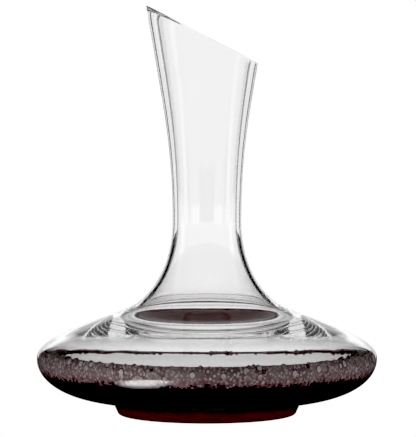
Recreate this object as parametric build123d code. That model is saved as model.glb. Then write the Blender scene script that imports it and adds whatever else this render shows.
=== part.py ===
from build123d import *

import math
import os
import random

# A wine decanter: one blown crystal vessel (bowl, shoulder, neck and a slanting mouth) whose bottom sits in a
# dished crystal foot. It holds red wine with a ring of froth and a few larger bubbles.
#
# Frame: +Z up, origin at the middle of the plane that the foot stands on, high lip of the mouth towards -X.
# All lengths are in millimetres and all angles in degrees. Outlines are drawn as (radius, height) in the XZ
# plane and turned about Z.

# Outer outline of the vessel
FOOT_HEIGHT = 9.5
BASE_RADIUS = 61.5
BELLY_RADIUS = 110.0
BELLY_HEIGHT = 36.3
NECK_ROOT_RADIUS = 52.4
NECK_ROOT_HEIGHT = 68.0
THROAT_RADIUS = 22.15
THROAT_HEIGHT = 125.5
RIM_RADIUS = 39.9
RIM_HEIGHT = 268.0

# Wall thickness, from the heavy base to the drawn-out throat and the thicker lip. The wall is thickest on the
# shoulder, just outside the neck's root.
BASE_WALL = 4.5
BELLY_WALL = 4.35
SHOULDER_WALL = 6.1
THROAT_WALL = 2.6
RIM_WALL = 4.7
BASE_CORNER_INSET = 3.5
INNER_ROOT_SHIFT = 11.1

# Directions of the wall where two curves of the outline meet
SHOULDER_SLOPE = 22.0
RIM_FLARE = 8.5

# How far each curve keeps its end's direction, as a share of its span
BASE_PULL = 0.578
BELLY_PULL_DOWN = 0.57
FLARE_PULL = 0.4

# The shoulder's slope where its two curves meet at the neck's root, and the shares at their four ends, from the
# belly up to the throat
OUTER_SHOULDER = (SHOULDER_SLOPE, 0.355, 0.663, 0.663, 0.459)
INNER_SHOULDER = (14.65, 0.171, 0.925, 0.33, 0.646)

# Slanting mouth
MOUTH_SLOPE = 27.4
MOUTH_AXIS_HEIGHT = 244.0
LIP_ROUNDING = 0.9

# Foot, and the bottom of the vessel that sits in it
FOOT_BOTTOM_RADIUS = 57.3
FOOT_RECESS_RADIUS = 46.0
FOOT_RECESS_RISE = 1.2
FOOT_ROUNDING = 1.5
SEAT_TOP_RADIUS = 57.5
SEAT_RADIUS = 53.5
SEAT_HEIGHT = 4.0
WELL_FLOOR_HEIGHT = 6.0
WELL_RADIUS = 51.5
WELL_ROUNDING = 2.0

# Wine, froth and larger bubbles
WINE_LEVEL = 38.8
FROTH_TOP = 40.0
FROTH_FOOT_HEIGHT = 28.0
FROTH_FOOT_RADIUS = 102.0
FROTH_TOP_INNER_RADIUS = 97.5
FROTH_INNER_RADIUS = 95.5
FROTH_ROUNDING = 0.6
BUBBLE_COUNT = 72
BUBBLE_SMALLEST = 0.8
BUBBLE_LARGEST = 1.8
BUBBLE_GAP = 0.2
BUBBLE_SEED = 7

# Larger than the whole vessel, for cutting tools
BEYOND = 150.0

# The vessel's bottom and the step that it sits on, from its middle to the crease above the foot
SEAT = [(SEAT_RADIUS, SEAT_HEIGHT), (SEAT_TOP_RADIUS, FOOT_HEIGHT)]


def direction(angle):
    """A unit vector in the outline's plane, at an angle from straight outwards, upwards being positive."""
    return Vector(math.cos(math.radians(angle)), math.sin(math.radians(angle)))


def curve(start, start_pull, end_pull, end):
    """One cubic curve whose ends leave along the two pull vectors."""
    start = Vector(*start)
    end = Vector(*end)
    return Bezier(start, start + start_pull, end - end_pull, end)


def wall_outline(base, belly, neck_root, throat, rim, shoulder):
    """The vessel's wall from its base to its rim, as four curves that flow into each other."""
    slope, belly_share, shoulder_share, neck_root_share, throat_share = shoulder
    up = Vector(0, 1)
    outwards = Vector(1, 0)
    up_shoulder = direction(180 - slope)
    flare = direction(90 - RIM_FLARE)
    underside_pull = outwards * BASE_PULL * (belly[0] - base[0])
    belly_pull_down = up * BELLY_PULL_DOWN * (belly[1] - base[1])
    belly_pull_up = up * belly_share * (neck_root[1] - belly[1])
    shoulder_pull = up_shoulder * shoulder_share * (belly[0] - neck_root[0])
    neck_root_pull = up_shoulder * neck_root_share * (neck_root[0] - throat[0])
    throat_pull_down = up * throat_share * (throat[1] - neck_root[1])
    flare_length = FLARE_PULL * (rim[1] - throat[1])
    return [
        curve(base, underside_pull, belly_pull_down, belly),
        curve(belly, belly_pull_up, shoulder_pull, neck_root),
        curve(neck_root, neck_root_pull, throat_pull_down, throat),
        curve(throat, up * flare_length, flare * flare_length, rim),
    ]


def turned(edges):
    """The solid made by turning a closed outline about the vertical axis."""
    face = make_face(Plane.XZ * Wire(edges))
    return revolve(face, Axis.Z)


def straight(*points):
    """Straight edges through the points."""
    return [Line(a, b) for a, b in zip(points, points[1:])]


def vessel_outside():
    """Everything within the vessel's outer surface, from the foot's seat up to an uncut level rim."""
    base = (BASE_RADIUS, FOOT_HEIGHT)
    rim = (RIM_RADIUS, RIM_HEIGHT)
    wall = wall_outline(
        base,
        (BELLY_RADIUS, BELLY_HEIGHT),
        (NECK_ROOT_RADIUS, NECK_ROOT_HEIGHT),
        (THROAT_RADIUS, THROAT_HEIGHT),
        rim,
        OUTER_SHOULDER,
    )
    bottom = straight((0, RIM_HEIGHT), (0, SEAT_HEIGHT), *SEAT, base)
    return turned([*wall, *straight(rim, (0, RIM_HEIGHT)), *bottom])


def cavity():
    """Everything within the vessel's inner surface, up to an uncut level rim."""
    base = (BASE_RADIUS - BASE_CORNER_INSET, FOOT_HEIGHT + BASE_WALL)
    inwards = direction(-90 - SHOULDER_SLOPE) * SHOULDER_WALL
    down_shoulder = direction(-SHOULDER_SLOPE) * INNER_ROOT_SHIFT
    neck_root = Vector(NECK_ROOT_RADIUS, NECK_ROOT_HEIGHT) + inwards + down_shoulder
    rim = (RIM_RADIUS - RIM_WALL, RIM_HEIGHT)
    wall = wall_outline(
        base,
        (BELLY_RADIUS - BELLY_WALL, BELLY_HEIGHT),
        (neck_root.X, neck_root.Y),
        (THROAT_RADIUS - THROAT_WALL, THROAT_HEIGHT),
        rim,
        INNER_SHOULDER,
    )
    well = straight((0, RIM_HEIGHT), (0, WELL_FLOOR_HEIGHT), (WELL_RADIUS, WELL_FLOOR_HEIGHT), base)
    inside = turned([*wall, *straight(rim, (0, RIM_HEIGHT)), *well])
    well_corner = inside.edges().group_by(Axis.Z)[0]
    return fillet(well_corner, WELL_ROUNDING)


def above_mouth():
    """The half space above the slanting mouth, as a block that stands on it."""
    mouth = Plane(origin=(0, 0, MOUTH_AXIS_HEIGHT), x_dir=(1, 0, 0), z_dir=(0, 0, 1)).rotated((0, MOUTH_SLOPE, 0))
    return mouth * Box(2 * BEYOND, 2 * BEYOND, BEYOND, align=(Align.CENTER, Align.CENTER, Align.MIN))


def bowl_and_neck():
    """The blown vessel, with its mouth cut at a slant and fire-polished."""
    vessel = vessel_outside() - cavity() - above_mouth()
    rim_face = vessel.faces().sort_by(Axis.Z)[-1]
    return fillet(rim_face.edges(), LIP_ROUNDING)


def foot():
    """The crystal foot: a shallow dish fused around the vessel's bottom, recessed inside the ring it stands on."""
    outline = straight(
        (0, SEAT_HEIGHT),
        *SEAT,
        (BASE_RADIUS, FOOT_HEIGHT),
        (FOOT_BOTTOM_RADIUS, 0),
        (0, 0),
        (0, SEAT_HEIGHT),
    )
    dish = turned(outline)
    bottom_edge = dish.edges().group_by(Axis.Z)[0]
    recess_radius = (FOOT_RECESS_RADIUS**2 + FOOT_RECESS_RISE**2) / (2 * FOOT_RECESS_RISE)
    recess = Pos(0, 0, FOOT_RECESS_RISE - recess_radius) * Sphere(recess_radius)
    return fillet(bottom_edge, FOOT_ROUNDING) - recess


def froth_ring(inside):
    """Froth around the glass: it stands above the wine and hangs a little way into it."""
    outline = straight(
        (FROTH_INNER_RADIUS, WINE_LEVEL),
        (FROTH_FOOT_RADIUS, FROTH_FOOT_HEIGHT),
        (BELLY_RADIUS, FROTH_FOOT_HEIGHT),
        (BELLY_RADIUS, FROTH_TOP),
        (FROTH_TOP_INNER_RADIUS, FROTH_TOP),
        (FROTH_INNER_RADIUS, WINE_LEVEL),
    )
    ring = turned(outline)
    inner_top_edge = ring.edges().group_by(Axis.Z)[-1].sort_by(SortBy.LENGTH)[0]
    return fillet(inner_top_edge, FROTH_ROUNDING) & inside


def wine(inside, froth):
    """The wine that fills the bowl up to its level, apart from where the froth is."""
    below_level = Box(2 * BEYOND, 2 * BEYOND, WINE_LEVEL, align=(Align.CENTER, Align.CENTER, Align.MIN))
    return (inside & below_level) - froth


def large_bubbles():
    """Domed bubbles that float on the wine along the froth's inner edge."""
    chance = random.Random(BUBBLE_SEED)
    domes = []
    for number in range(BUBBLE_COUNT):
        radius = chance.uniform(BUBBLE_SMALLEST, BUBBLE_LARGEST)
        distance = FROTH_INNER_RADIUS - radius - BUBBLE_GAP
        place = Rot(0, 0, 360 * number / BUBBLE_COUNT) * Pos(distance, 0, WINE_LEVEL)
        domes.append(place * Sphere(radius, arc_size1=0, align=(Align.CENTER, Align.CENTER, Align.MIN)))
    return Compound(children=domes)


def main():
    os.makedirs("parts", exist_ok=True)
    inside = cavity()
    froth = froth_ring(inside)
    nodes = {
        "bowl_and_neck": bowl_and_neck(),
        "foot": foot(),
        "wine": wine(inside, froth),
        "froth_ring": froth,
        "large_bubbles": large_bubbles(),
    }
    for name, shape in nodes.items():
        export_step(shape, f"parts/{name}.step")


main()
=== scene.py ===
import math
import random

import bmesh
import bpy
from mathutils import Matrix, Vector


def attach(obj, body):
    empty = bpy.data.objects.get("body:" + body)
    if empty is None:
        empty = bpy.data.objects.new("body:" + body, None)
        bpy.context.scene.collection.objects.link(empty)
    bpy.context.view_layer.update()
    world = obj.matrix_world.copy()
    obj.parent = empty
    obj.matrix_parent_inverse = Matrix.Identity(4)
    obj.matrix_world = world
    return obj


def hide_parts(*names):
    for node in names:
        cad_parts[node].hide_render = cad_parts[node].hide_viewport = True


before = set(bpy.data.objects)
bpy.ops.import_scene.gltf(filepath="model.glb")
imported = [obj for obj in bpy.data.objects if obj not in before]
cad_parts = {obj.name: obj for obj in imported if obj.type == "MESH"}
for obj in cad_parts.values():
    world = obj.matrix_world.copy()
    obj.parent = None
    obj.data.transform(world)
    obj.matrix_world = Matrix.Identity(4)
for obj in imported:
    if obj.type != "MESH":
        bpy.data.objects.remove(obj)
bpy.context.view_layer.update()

MM = 0.001

# Vessel outline
FOOT_HEIGHT = 9.5
BASE_RADIUS = 61.5
BELLY_RADIUS = 110.0
BELLY_HEIGHT = 36.3
NECK_ROOT_RADIUS = 52.4
NECK_ROOT_HEIGHT = 68.0
THROAT_RADIUS = 22.15
THROAT_HEIGHT = 125.5
RIM_RADIUS = 39.9
RIM_HEIGHT = 268.0
BASE_WALL = 4.5
BELLY_WALL = 4.35
SHOULDER_WALL = 6.1
THROAT_WALL = 2.6
RIM_WALL = 4.7
BASE_CORNER_INSET = 3.5
WELL_FLOOR_HEIGHT = 6.0
WELL_RADIUS = 51.5
WELL_ROUNDING = 2.0
INNER_ROOT_SHIFT = 11.1
SHOULDER_SLOPE = 22.0
RIM_FLARE = 8.5
BASE_PULL = 0.578
BELLY_PULL_DOWN = 0.57
FLARE_PULL = 0.4

# The shoulder's slope where its two curves meet at the neck's root, and their pulls, from the belly up
OUTER_SHOULDER = (SHOULDER_SLOPE, 0.355, 0.663, 0.663, 0.459)
INNER_SHOULDER = (14.65, 0.171, 0.925, 0.33, 0.646)
MOUTH_SLOPE = 27.4
MOUTH_AXIS_HEIGHT = 244.0
LIP_ROUNDING = 1.1

# Foot
FOOT_BOTTOM_RADIUS = 57.3
FOOT_RECESS_RADIUS = 46.0
FOOT_RECESS_RISE = 1.2
FOOT_ROUNDING = 1.5

# Wine and froth
WINE_LEVEL = 38.8
FROTH_TOP = 40.0
FROTH_FOOT_HEIGHT = 28.0
FROTH_FOOT_RADIUS = 102.0
FROTH_TOP_INNER_RADIUS = 97.5
FROTH_INNER_RADIUS = 95.5
FROTH_COLUMNS = 720
CREST_BUBBLES = 420
FLOATING_BUBBLES = 150

# Waves in the froth's inner edge: how many, their least and greatest size, number round the ring and start
SWELLS = 9
SWELL_SIZES = (0.1, 0.3)
SWELL_COUNTS = (9, 150)
SWELL_STARTS = (0, 6.3)
SWELL_SCALE = 1.6

# How far the wine goes on under the froth, and how close to its level a face counts as its open surface
WINE_TUCK = 1.0
SURFACE_MARGIN = 0.01

# Bubbles. Radii run from the smallest up by the spread, small ones most often
CREST_SMALLEST = 0.35
CREST_SPREAD = 1.3
CREST_JITTER = 0.4
CREST_INSET = 1.5
CREST_WIDTH = 5.5
CREST_RISE = 0.5
FLOATING_SMALLEST = 0.3
FLOATING_SPREAD = 1.2
FLOATING_REACH = 3.5
BUBBLE_LIFT = 0.1
DOME_REACH = 110
DOME_SQUASH = (0.75, 1.0)

# Pieces that touch glass reach this far into it, so that no film of air is left between them
CONTACT = 0.05

# Mesh fineness
COLUMNS = 256
STEPS = 28
CORNER_STEPS = 5
RECESS_STEPS = 16
WINE_SIDE_STEPS = 24
FROTH_SIDE_STEPS = 10
FROTH_TOP_STEPS = 6
DOME_RINGS = 6
DOME_SPOKES = 12

# Colours, linear
WINE_DEEP = (0.004, 0.0, 0.0, 1)
# Painted glow: the wine's underside is coloured red where light from the table below would shine up through
# thin wine
WINE_UNDERSIDE_PAINTED_GLOW = (0.17, 0.0, 0.002, 1)
WINE_OPEN = (0.2, 0.01, 0.01, 1)
WINE_OPEN_THIN = (0.32, 0.018, 0.018, 1)
FROTH_PALE = (0.85, 0.79, 0.79, 1)
FROTH_MIDDLE = (0.55, 0.45, 0.46, 1)
FROTH_DARK = (0.28, 0.2, 0.21, 1)
FROTH_WET = (0.2, 0.07, 0.08, 1)
FROTH_OUTLINE = (0.12, 0.07, 0.08, 1)
WINE_EDGE = (0.2, 0.015, 0.02, 1)
BUBBLE_FILM = (0.8, 0.68, 0.7, 1)
BUBBLE_PALE = (0.85, 0.7, 0.72, 1)
BUBBLE_DARK = (0.6, 0.45, 0.48, 1)

# Where the colours change: heights, and for the froth's inner face radii, in millimetres
# The wine's painted glow from below fades out between these two heights
PAINTED_GLOW_FADE_RANGE = (6.0, 13.0)
FROTH_UPPER_RANGE = (31.0, 37.0)
FROTH_WET_RANGE = (30.0, 34.0)
FROTH_FOOT_RANGE = (28.2, 30.2)
FROTH_INNER_FACE = (97.0, 98.5)
FROTH_BIG_CELL = 5.0
FROTH_SMALL_CELL = 1.7

# Studio: (direction from +Y, half width) in degrees of each white opening, and the table's radii in metres
SECTOR_SOFTNESS = 1.5
WORLD_OPENINGS = ((0.0, 19.0), (90.0, 7.0))
TABLE_OPENINGS = ((0.0, 19.0), (45.0, 18.0), (90.0, 17.0), (135.0, 18.0))
OVERHEAD_RANGE = (0.45, 0.75)
OVERHEAD_LEVEL = 0.25
HORIZON_RANGE = (-0.08, -0.03)
SWEEP_TOP_RANGE = (0.2, 0.32)
SWEEP_TOP_LEVEL = 0.4
DARK_LEVEL = 0.02
CARD_PLACE = (-0.066, -0.127, 0.0005)
CARD_SIZE = (0.042, 0.03)
CARD_TURN = 47.0
CARD_LEVEL = 13.0
FLOOR_RADIUS = 9.0
TABLE_DROP = 0.0002
TABLE_WHITE_TO = 0.9
TABLE_DARK_FROM = 1.3
LIGHT_BOUNCES = 32
BLACK_LEVEL = (0.035, 0.035, 0.035)

# Camera
CAMERA_PLACE = (0.0007, -2.084, 0.2413)
CAMERA_TILT = 3.15
CAMERA_LENS = 266.0


def direction(angle):
    """A unit vector in the outline's plane, at an angle from straight outwards."""
    return Vector((math.cos(math.radians(angle)), math.sin(math.radians(angle))))


class Curve:
    """One cubic curve whose ends leave along the two pull vectors."""

    def __init__(self, start, start_pull, end_pull, end):
        start = Vector(start)
        end = Vector(end)
        self.stations = (start, start + start_pull, end - end_pull, end)

    def at(self, share):
        a, b, c, d = self.stations
        rest = 1 - share
        return rest**3 * a + 3 * rest**2 * share * b + 3 * rest * share**2 * c + share**3 * d

    def points(self, steps=STEPS, until=1.0):
        """Points from the start to the given share, both included."""
        return [self.at(until * step / steps) for step in range(steps + 1)]

    def share_where(self, is_past):
        """The share at which a condition that is false at the start turns true."""
        low, high = 0.0, 1.0
        for _ in range(40):
            middle = (low + high) / 2
            if is_past(self.at(middle)):
                high = middle
            else:
                low = middle
        return (low + high) / 2


def wall_curves(base, belly, neck_root, throat, rim, shoulder):
    """The vessel's wall from its base to its rim, as four curves that flow into each other."""
    slope, belly_share, shoulder_share, neck_root_share, throat_share = shoulder
    up = Vector((0, 1))
    outwards = Vector((1, 0))
    up_shoulder = direction(180 - slope)
    flare = direction(90 - RIM_FLARE)
    underside_pull = outwards * BASE_PULL * (belly[0] - base[0])
    belly_pull_down = up * BELLY_PULL_DOWN * (belly[1] - base[1])
    belly_pull_up = up * belly_share * (neck_root[1] - belly[1])
    shoulder_pull = up_shoulder * shoulder_share * (belly[0] - neck_root[0])
    neck_root_pull = up_shoulder * neck_root_share * (neck_root[0] - throat[0])
    throat_pull_down = up * throat_share * (throat[1] - neck_root[1])
    flare_length = FLARE_PULL * (rim[1] - throat[1])
    return [
        Curve(base, underside_pull, belly_pull_down, belly),
        Curve(belly, belly_pull_up, shoulder_pull, neck_root),
        Curve(neck_root, neck_root_pull, throat_pull_down, throat),
        Curve(throat, up * flare_length, flare * flare_length, rim),
    ]


def outer_wall():
    return wall_curves(
        (BASE_RADIUS, FOOT_HEIGHT),
        (BELLY_RADIUS, BELLY_HEIGHT),
        (NECK_ROOT_RADIUS, NECK_ROOT_HEIGHT),
        (THROAT_RADIUS, THROAT_HEIGHT),
        (RIM_RADIUS, RIM_HEIGHT),
        OUTER_SHOULDER,
    )


def inner_wall():
    inwards = direction(-90 - SHOULDER_SLOPE) * SHOULDER_WALL
    down_shoulder = direction(-SHOULDER_SLOPE) * INNER_ROOT_SHIFT
    return wall_curves(
        (BASE_RADIUS - BASE_CORNER_INSET, FOOT_HEIGHT + BASE_WALL),
        (BELLY_RADIUS - BELLY_WALL, BELLY_HEIGHT),
        Vector((NECK_ROOT_RADIUS, NECK_ROOT_HEIGHT)) + inwards + down_shoulder,
        (THROAT_RADIUS - THROAT_WALL, THROAT_HEIGHT),
        (RIM_RADIUS - RIM_WALL, RIM_HEIGHT),
        INNER_SHOULDER,
    )


def well(sink):
    """The vessel's inner floor, which dips into the foot, sunk a little where a liquid wets it."""
    floor_height = WELL_FLOOR_HEIGHT - sink
    middle = Vector((0, floor_height))
    edge = Vector((WELL_RADIUS, floor_height))
    top = Vector((BASE_RADIUS - BASE_CORNER_INSET + sink, FOOT_HEIGHT + BASE_WALL))
    rounded = corner(middle, edge, top, WELL_ROUNDING)
    return [middle, middle.lerp(edge, 0.5), *rounded, edge.lerp(top, 0.6), top]


def joined(*runs):
    """One list of points from runs that meet end to end."""
    points = [runs[0][0]]
    for run in runs:
        points += run[1:]
    return points


def corner(before, tip, after, rounding):
    """A rounded corner at the tip between two neighbouring points."""
    start = tip + (before - tip).normalized() * rounding
    end = tip + (after - tip).normalized() * rounding
    bend = Curve(start, (tip - start) * 2 / 3, (end - tip) * 2 / 3, end)
    return bend.points(CORNER_STEPS)


def turned_vertex(bm, point, angle):
    """A vertex where a point of the outline comes to when it is turned about Z."""
    r, z = point
    return bm.verts.new((r * math.cos(angle) * MM, r * math.sin(angle) * MM, z * MM))


def turned_mesh(name, column_points):
    """A closed mesh turned about Z from a function that gives the outline at an angle, axis to axis."""
    bm = bmesh.new()
    rings = []
    for column in range(COLUMNS):
        angle = 2 * math.pi * column / COLUMNS
        points = column_points(angle)
        if rings:
            ends = (rings[0][0], rings[0][-1])
        else:
            ends = tuple(bm.verts.new((0, 0, point[1] * MM)) for point in (points[0], points[-1]))
        side = [turned_vertex(bm, point, angle) for point in points[1:-1]]
        rings.append([ends[0], *side, ends[1]])
    for ring, following in zip(rings, rings[1:] + rings[:1]):
        bm.faces.new((ring[0], ring[1], following[1]))
        for row in range(1, len(ring) - 2):
            bm.faces.new((ring[row], ring[row + 1], following[row + 1], following[row]))
        bm.faces.new((ring[-2], ring[-1], following[-2]))
    return finished_object(name, bm)


def ring_mesh(name, section_points, columns):
    """A closed ring about Z from a function that gives its closed section at an angle."""
    bm = bmesh.new()
    rings = []
    for column in range(columns):
        angle = 2 * math.pi * column / columns
        rings.append([turned_vertex(bm, point, angle) for point in section_points(angle)])
    for ring, following in zip(rings, rings[1:] + rings[:1]):
        for row in range(len(ring)):
            after = (row + 1) % len(ring)
            bm.faces.new((ring[row], ring[after], following[after], following[row]))
    return finished_object(name, bm)


def finished_object(name, bm):
    """A smooth-shaded object from a bmesh, with its faces turned outwards."""
    bmesh.ops.recalc_face_normals(bm, faces=bm.faces)
    mesh = bpy.data.meshes.new(name)
    bm.to_mesh(mesh)
    bm.free()
    mesh.shade_smooth()
    piece = bpy.data.objects.new(name, mesh)
    bpy.context.scene.collection.objects.link(piece)
    return piece


# ---------------------------------------------------------------- pieces


def foot_run():
    """The foot's outline, from the middle of its recess to the crease under the bowl."""
    bottom = Vector((FOOT_BOTTOM_RADIUS, 0))
    crease = Vector((BASE_RADIUS, FOOT_HEIGHT))
    ring = Vector((FOOT_RECESS_RADIUS, 0))
    pull = Vector((FOOT_RECESS_RADIUS / 3, 0))
    recess = Curve((0, FOOT_RECESS_RISE), pull, pull - Vector((0, FOOT_RECESS_RISE * 2 / 3)), ring)
    return recess.points(RECESS_STEPS) + corner(ring, bottom, crease, FOOT_ROUNDING) + [crease]


def make_vessel():
    """Bowl, shoulder, neck, slanting mouth and the foot, which is fused on: all one piece of crystal."""
    outer = outer_wall()
    inner = inner_wall()
    outside = joined(foot_run(), *[curve.points() for curve in outer[:3]])
    inside = joined(well(0), *[curve.points() for curve in inner[:3]])
    slope = math.tan(math.radians(MOUTH_SLOPE))

    def column_points(angle):
        lean = slope * math.cos(angle)

        def above_mouth(point):
            return point.y > MOUTH_AXIS_HEIGHT - lean * point.x

        outer_run, inner_run = (
            wall[3].points(until=wall[3].share_where(above_mouth)) for wall in (outer, inner)
        )
        outer_tip = outer_run[-1]
        inner_tip = inner_run[-1]
        outer_corner = corner(outer_run[-2], outer_tip, inner_tip, LIP_ROUNDING)
        inner_corner = corner(outer_tip, inner_tip, inner_run[-2], LIP_ROUNDING)
        up = joined(outside, outer_run[:-1] + outer_corner)
        down = joined(inner_corner + inner_run[-2::-1], inside[::-1])
        return up + down

    return turned_mesh("decanter_glass", column_points)


def wetted_wall(low, high, steps):
    """Points on the inner wall between two heights below the belly, reaching a little into the glass."""
    lower = inner_wall()[0]
    start = lower.share_where(lambda point: point.y > low)
    end = lower.share_where(lambda point: point.y > high)
    shares = [start + (end - start) * step / steps for step in range(steps + 1)]
    return [lower.at(share) + Vector((CONTACT, 0)) for share in shares]


def make_wine():
    """Wine up to its level, tucked under the froth at its edge."""
    side = wetted_wall(FOOT_HEIGHT + BASE_WALL, FROTH_FOOT_HEIGHT + WINE_TUCK, WINE_SIDE_STEPS)
    surface = [Vector((FROTH_INNER_RADIUS + WINE_TUCK, WINE_LEVEL)), Vector((0, WINE_LEVEL))]
    outline = well(CONTACT)[:-1] + side + surface
    piece = turned_mesh("wine_body", lambda angle: outline)
    for face in piece.data.polygons:
        if face.center.z > (WINE_LEVEL - SURFACE_MARGIN) * MM:
            face.material_index = 1
            face.use_smooth = False
    return piece


def make_froth(chance):
    """The ring of froth between the wine and the glass, uneven where no glass holds it."""
    wall = wetted_wall(FROTH_FOOT_HEIGHT, BELLY_HEIGHT - 0.05, FROTH_SIDE_STEPS)
    upper = inner_wall()[1]
    top_share = upper.share_where(lambda point: point.y > FROTH_TOP)
    wall += [point + Vector((CONTACT, 0)) for point in upper.points(FROTH_TOP_STEPS, top_share)]
    swells = [
        (chance.uniform(*SWELL_SIZES), chance.randrange(*SWELL_COUNTS), chance.uniform(*SWELL_STARTS))
        for _ in range(SWELLS)
    ]

    def section(angle):
        swell = sum(size * math.sin(count * angle + start) for size, count, start in swells) / SWELL_SCALE
        crest = Vector((FROTH_TOP_INNER_RADIUS + 1.5, wall[-1].y - 0.3 + 0.3 * swell))
        brow = Vector((FROTH_TOP_INNER_RADIUS - 0.4 - swell, WINE_LEVEL + 0.8 + 0.2 * swell))
        toe = Vector((FROTH_INNER_RADIUS - 0.6 - swell, WINE_LEVEL + 0.1))
        heel = Vector((FROTH_INNER_RADIUS, WINE_LEVEL - 0.6))
        root = Vector((FROTH_FOOT_RADIUS, FROTH_FOOT_HEIGHT + 0.3))
        return wall + [crest, brow, toe, heel, root]

    return ring_mesh("froth_foam", section, FROTH_COLUMNS)


def make_bubbles(name, chance, places):
    """One mesh of domed bubbles, each a bit more than a half ball, from (angle, distance, height, radius)."""
    bm = bmesh.new()
    for angle, distance, height, radius in places:
        centre = Vector((distance * math.cos(angle), distance * math.sin(angle), height))
        squash = chance.uniform(*DOME_SQUASH)
        top = bm.verts.new((centre + Vector((0, 0, radius * squash))) * MM)
        above = None
        for ring in range(1, DOME_RINGS + 1):
            fall = math.radians(DOME_REACH) * ring / DOME_RINGS
            out = math.sin(fall)
            circle = []
            for spoke in range(DOME_SPOKES):
                turn = 2 * math.pi * spoke / DOME_SPOKES
                offset = Vector((out * math.cos(turn), out * math.sin(turn), math.cos(fall) * squash))
                circle.append(bm.verts.new((centre + offset * radius) * MM))
            for first, second in zip(range(DOME_SPOKES), [*range(1, DOME_SPOKES), 0]):
                if above is None:
                    bm.faces.new((top, circle[first], circle[second]))
                else:
                    bm.faces.new((above[first], circle[first], circle[second], above[second]))
            above = circle
        bm.faces.new(above[::-1])
    return finished_object(name, bm)


def crest_places(chance):
    """Bubbles over the froth's top and inner slope, small ones most often."""
    places = []
    for number in range(CREST_BUBBLES):
        angle = 2 * math.pi * (number + chance.uniform(-CREST_JITTER, CREST_JITTER)) / CREST_BUBBLES
        radius = CREST_SMALLEST + CREST_SPREAD * chance.random() ** 3
        share = chance.random()
        distance = FROTH_TOP_INNER_RADIUS - CREST_INSET + share * CREST_WIDTH
        height = WINE_LEVEL + BUBBLE_LIFT + share * CREST_RISE
        places.append((angle, distance, height, radius))
    return places


def floating_places(chance):
    """Bubbles that float on the wine along the froth, and a few further in."""
    places = []
    for _ in range(FLOATING_BUBBLES):
        radius = FLOATING_SMALLEST + FLOATING_SPREAD * chance.random() ** 3
        distance = FROTH_INNER_RADIUS - radius - FLOATING_REACH * chance.random() ** 2
        places.append((chance.uniform(0, 2 * math.pi), distance, WINE_LEVEL + BUBBLE_LIFT, radius))
    return places


# ---------------------------------------------------------------- materials


class Tree:
    """Short calls for the nodes that the materials and the world are made of."""

    def __init__(self, owner):
        owner.use_nodes = True
        self.nodes = owner.node_tree.nodes
        self.links = owner.node_tree.links

    def feed(self, target, sockets):
        """Gives a node's inputs values, or the outputs of other nodes."""
        for name, value in sockets.items():
            if isinstance(value, bpy.types.NodeSocket):
                self.links.new(value, target.inputs[name])
            else:
                target.inputs[name].default_value = value

    def add(self, kind, sockets, **settings):
        node = self.nodes.new(kind)
        for name, value in settings.items():
            setattr(node, name, value)
        self.feed(node, sockets)
        return node

    def place(self):
        return self.nodes.new("ShaderNodeTexCoord").outputs["Object"]

    def maths(self, operation, *values):
        return self.add("ShaderNodeMath", dict(enumerate(values)), operation=operation).outputs[0]

    def between(self, value, low, high, low_gives=0.0, high_gives=1.0):
        """Goes smoothly from one output to another while the value goes from low to high."""
        sockets = {"Value": value, "From Min": low, "From Max": high, "To Min": low_gives, "To Max": high_gives}
        return self.add("ShaderNodeMapRange", sockets, interpolation_type="SMOOTHSTEP").outputs["Result"]

    def height(self):
        """Height above the plane that the foot stands on, in millimetres."""
        split = self.add("ShaderNodeSeparateXYZ", {0: self.place()})
        return self.maths("DIVIDE", split.outputs["Z"], MM)

    def distance(self, x, y):
        """Distance from the middle, in the units of x and y."""
        squares = self.maths("ADD", self.maths("MULTIPLY", x, x), self.maths("MULTIPLY", y, y))
        return self.maths("SQRT", squares)

    def radius(self):
        """Distance from the decanter's axis, in millimetres."""
        split = self.add("ShaderNodeSeparateXYZ", {0: self.place()})
        return self.maths("DIVIDE", self.distance(split.outputs["X"], split.outputs["Y"]), MM)

    def noise(self, size, detail=2.0):
        """Soft noise whose features are about this many millimetres across."""
        sockets = {"Vector": self.place(), "Scale": 1 / (size * MM), "Detail": detail}
        return self.add("ShaderNodeTexNoise", sockets).outputs[0]

    def cells(self, size):
        """Round cells about this many millimetres across: the distance from each middle, and its own chance."""
        sockets = {"Vector": self.place(), "Scale": 1 / (size * MM)}
        node = self.add("ShaderNodeTexVoronoi", sockets, feature="F1")
        return node.outputs["Distance"], node.outputs["Color"]

    def mix(self, share, first, second):
        node = self.add("ShaderNodeMix", {0: share, 6: first, 7: second}, data_type="RGBA")
        return node.outputs[2]

    def bump(self, height, strength, distance):
        sockets = {"Height": height, "Strength": strength, "Distance": distance * MM}
        return self.add("ShaderNodeBump", sockets).outputs[0]


def principled(name, sockets):
    """A material with one principled shader, and its tree."""
    material = bpy.data.materials.new(name)
    tree = Tree(material)
    shader = tree.nodes["Principled BSDF"]
    tree.feed(shader, sockets)
    return material, tree, shader


def crystal_material():
    """Clear crystal with the faint waves of blown glass."""
    sockets = {"Base Color": (1, 1, 1, 1), "Roughness": 0.0, "IOR": 1.5, "Transmission Weight": 1.0}
    material, tree, shader = principled("crystal", sockets)
    tree.feed(shader, {"Normal": tree.bump(tree.noise(22.0, 1.0), 1.0, 0.05)})
    return material


def wine_material():
    """Wine seen through the glass that it wets: nothing shines at that boundary, so it has no sheen."""
    material, tree, shader = principled("red_wine", {"Roughness": 0.5, "Specular IOR Level": 0.0})
    height = tree.height()
    # Painted glow: red low down, as if light from the table below shone through the thin wine, going to near
    # black higher up
    glow_fade = tree.between(height, *PAINTED_GLOW_FADE_RANGE)
    body = tree.mix(glow_fade, WINE_UNDERSIDE_PAINTED_GLOW, WINE_DEEP)
    cloud = tree.between(tree.noise(9.0), 0.35, 0.7, 0.0, 0.35)
    tree.feed(shader, {"Base Color": tree.mix(cloud, body, WINE_DEEP)})
    return material


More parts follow.
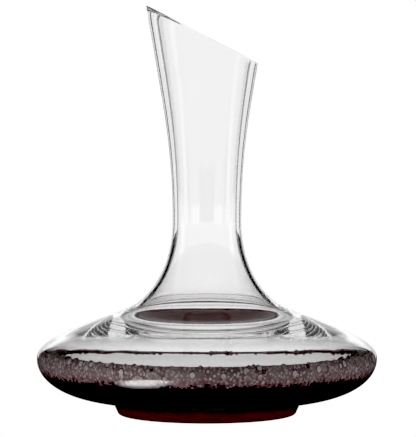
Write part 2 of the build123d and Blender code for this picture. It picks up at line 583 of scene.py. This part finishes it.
def wine_surface_material():
    """The open surface of the wine, almost as smooth as a mirror."""
    sockets = {"Base Color": WINE_OPEN, "Roughness": 0.0, "IOR": 1.1}
    material, tree, shader = principled("red_wine_surface", sockets)
    cloud = tree.between(tree.noise(14.0), 0.35, 0.7)
    colour = tree.mix(cloud, WINE_OPEN, WINE_OPEN_THIN)
    tree.feed(shader, {"Base Color": colour, "Normal": tree.bump(tree.noise(6.0), 0.3, 0.02)})
    return material


def froth_material():
    """A mass of small bubbles: pale cells with dark outlines, finer and redder towards the wine."""
    material, tree, shader = principled("froth", {"Roughness": 0.4, "Specular IOR Level": 0.2})
    height = tree.height()
    big_middle, big_chance = tree.cells(FROTH_BIG_CELL)
    small_middle, small_chance = tree.cells(FROTH_SMALL_CELL)
    upper = tree.between(height, *FROTH_UPPER_RANGE)
    big_shown = tree.maths("MULTIPLY", upper, tree.between(big_chance, 0.5, 0.56))
    big_disc = tree.between(big_middle, 0.36, 0.42, 1.0, 0.0)
    outline_from = tree.between(big_middle, 0.3, 0.4)
    big_outline = tree.maths("MULTIPLY", outline_from, tree.between(big_middle, 0.42, 0.5, 1.0, 0.0))
    small_disc = tree.between(small_middle, 0.3, 0.55, 1.0, 0.0)
    small_tone = tree.mix(tree.between(small_chance, 0.2, 0.9), FROTH_MIDDLE, FROTH_PALE)
    small = tree.mix(small_disc, FROTH_DARK, small_tone)
    patchy = tree.mix(tree.between(tree.noise(12.0), 0.35, 0.7, 0.0, 0.5), small, FROTH_MIDDLE)
    with_big = tree.mix(tree.maths("MULTIPLY", big_shown, big_disc), patchy, FROTH_PALE)
    outlined = tree.mix(tree.maths("MULTIPLY", big_shown, big_outline), with_big, FROTH_OUTLINE)
    ragged = tree.maths("ADD", height, tree.between(tree.noise(2.2, 3.0), 0.2, 0.8, -2.6, 2.6))
    redder = tree.mix(tree.between(ragged, *FROTH_WET_RANGE, 0.6, 0.0), outlined, FROTH_WET)
    inner_face = tree.between(tree.radius(), *FROTH_INNER_FACE, 0.85, 0.0)
    above_wine = tree.mix(tree.between(ragged, *FROTH_FOOT_RANGE), WINE_DEEP, redder)
    colour = tree.mix(inner_face, above_wine, WINE_EDGE)
    big_relief = tree.maths("MULTIPLY", big_shown, big_disc)
    relief = tree.maths("MAXIMUM", big_relief, tree.maths("MULTIPLY", small_disc, 0.5))
    tree.feed(shader, {"Base Color": colour, "Normal": tree.bump(relief, 0.6, 0.3)})
    return material


def bubble_material():
    """Thin wet films that pass most light and shine at their edges."""
    sockets = {"Base Color": BUBBLE_FILM, "Roughness": 0.03, "IOR": 1.33, "Transmission Weight": 0.75}
    material, tree, shader = principled("bubble_film", sockets)
    tree.feed(shader, {"Base Color": tree.mix(tree.noise(1.5), BUBBLE_PALE, BUBBLE_DARK)})
    return material


# ---------------------------------------------------------------- stage


def add_camera():
    data = bpy.data.cameras.new("camera")
    data.lens = CAMERA_LENS
    camera = bpy.data.objects.new("camera", data)
    camera.location = CAMERA_PLACE
    camera.rotation_euler = (math.radians(90 - CAMERA_TILT), 0, 0)
    bpy.context.scene.collection.objects.link(camera)
    bpy.context.scene.camera = camera


def sector(tree, x, y, opening):
    """1 in the sectors of the studio that stay white, 0 where a dark flag stands.

    The angle is measured from +Y, the side that the camera looks towards, and is the same to both sides.
    """
    angle = tree.maths("ABSOLUTE", tree.maths("ARCTAN2", x, y))
    degrees = tree.maths("MULTIPLY", angle, 180 / math.pi)
    light = None
    for middle, half_width in opening:
        offset = tree.maths("ABSOLUTE", tree.maths("SUBTRACT", degrees, middle))
        strip = tree.between(offset, half_width - SECTOR_SOFTNESS, half_width + SECTOR_SOFTNESS, 1.0, 0.0)
        light = strip if light is None else tree.maths("MAXIMUM", light, strip)
    return light


def add_floor():
    """A white light table, its far parts flagged off between the directions that the views look along."""
    bm = bmesh.new()
    bmesh.ops.create_circle(bm, cap_ends=True, segments=96, radius=FLOOR_RADIUS)
    floor = finished_object("light_table", bm)
    floor.location.z = -TABLE_DROP
    floor.visible_glossy = False
    sockets = {"Base Color": (0, 0, 0, 1), "Specular IOR Level": 0.0, "Emission Color": (1, 1, 1, 1)}
    material, tree, shader = principled("light_table", sockets)
    split = tree.add("ShaderNodeSeparateXYZ", {0: tree.place()})
    x, y = split.outputs["X"], split.outputs["Y"]
    near = tree.between(tree.distance(x, y), TABLE_WHITE_TO, TABLE_DARK_FROM, 1.0, 0.0)
    light = tree.maths("MAXIMUM", near, sector(tree, x, y, TABLE_OPENINGS))
    strength = tree.between(light, 0.0, 1.0, DARK_LEVEL, 1.0)
    tree.feed(shader, {"Emission Strength": strength})
    floor.data.materials.append(material)


def add_card():
    """A small bright card beside the bowl, seen only as a soft highlight low on the belly."""
    bm = bmesh.new()
    bmesh.ops.create_grid(bm, x_segments=1, y_segments=1, size=1)
    card = finished_object("highlight_card", bm)
    card.location = CARD_PLACE
    card.rotation_euler = (0, 0, math.radians(-CARD_TURN))
    card.scale = (*CARD_SIZE, 1)
    card.visible_camera = False
    card.visible_diffuse = False
    card.visible_transmission = False
    card.visible_shadow = False
    sockets = {"Base Color": (0, 0, 0, 1), "Specular IOR Level": 0.0, "Emission Color": (1, 1, 1, 1)}
    material, tree, shader = principled("highlight_card", sockets)
    split = tree.add("ShaderNodeSeparateXYZ", {0: tree.place()})
    radius = tree.distance(split.outputs["X"], split.outputs["Y"])
    tree.feed(shader, {"Emission Strength": tree.between(radius, 0.3, 1.0, CARD_LEVEL, 0.0)})
    card.data.materials.append(material)


def set_world():
    """A white sweep behind, a soft box at each side, dim light from overhead, and dark flags between."""
    world = bpy.data.worlds.new("studio")
    bpy.context.scene.world = world
    tree = Tree(world)
    place = tree.nodes.new("ShaderNodeTexCoord").outputs["Generated"]
    split = tree.add("ShaderNodeSeparateXYZ", {0: place})
    height = split.outputs["Z"]
    overhead = tree.between(height, *OVERHEAD_RANGE, 0.0, OVERHEAD_LEVEL)
    above_table = tree.between(height, *HORIZON_RANGE)
    sides = sector(tree, split.outputs["X"], split.outputs["Y"], WORLD_OPENINGS)
    under_flag = tree.between(height, *SWEEP_TOP_RANGE, 1.0, SWEEP_TOP_LEVEL)
    sides = tree.maths("MULTIPLY", sides, tree.maths("MULTIPLY", above_table, under_flag))
    light = tree.maths("MAXIMUM", sides, overhead)
    strength = tree.between(light, 0.0, 1.0, DARK_LEVEL, 1.0)
    tree.feed(tree.nodes["Background"], {"Color": (1, 1, 1, 1), "Strength": strength})


# ---------------------------------------------------------------- scene


def place_piece(piece, slot, nodes, *materials):
    for material in materials:
        piece.data.materials.append(material)
    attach(piece, "root")
    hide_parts(*nodes)


def main():
    chance = random.Random(7)
    add_camera()
    crystal = crystal_material()
    froth = froth_material()
    crest = make_bubbles("froth_crest", chance, crest_places(chance))
    floating = make_bubbles("floating_bubbles", chance, floating_places(chance))
    place_piece(make_vessel(), "crystal", ["bowl_and_neck", "foot"], crystal)
    place_piece(make_wine(), "red_wine", ["wine"], wine_material(), wine_surface_material())
    place_piece(make_froth(chance), "froth", ["froth_ring"], froth)
    place_piece(crest, "froth", ["froth_ring"], froth)
    place_piece(floating, "bubble_film", ["large_bubbles"], bubble_material())
    add_floor()
    add_card()
    set_world()
    scene = bpy.context.scene
    scene.view_settings.view_transform = "Standard"
    scene.view_settings.use_curve_mapping = True
    curves = scene.view_settings.curve_mapping
    curves.black_level = BLACK_LEVEL
    curves.update()
    scene.cycles.max_bounces = LIGHT_BOUNCES
    scene.cycles.transmission_bounces = LIGHT_BOUNCES
    scene.cycles.glossy_bounces = LIGHT_BOUNCES


main()
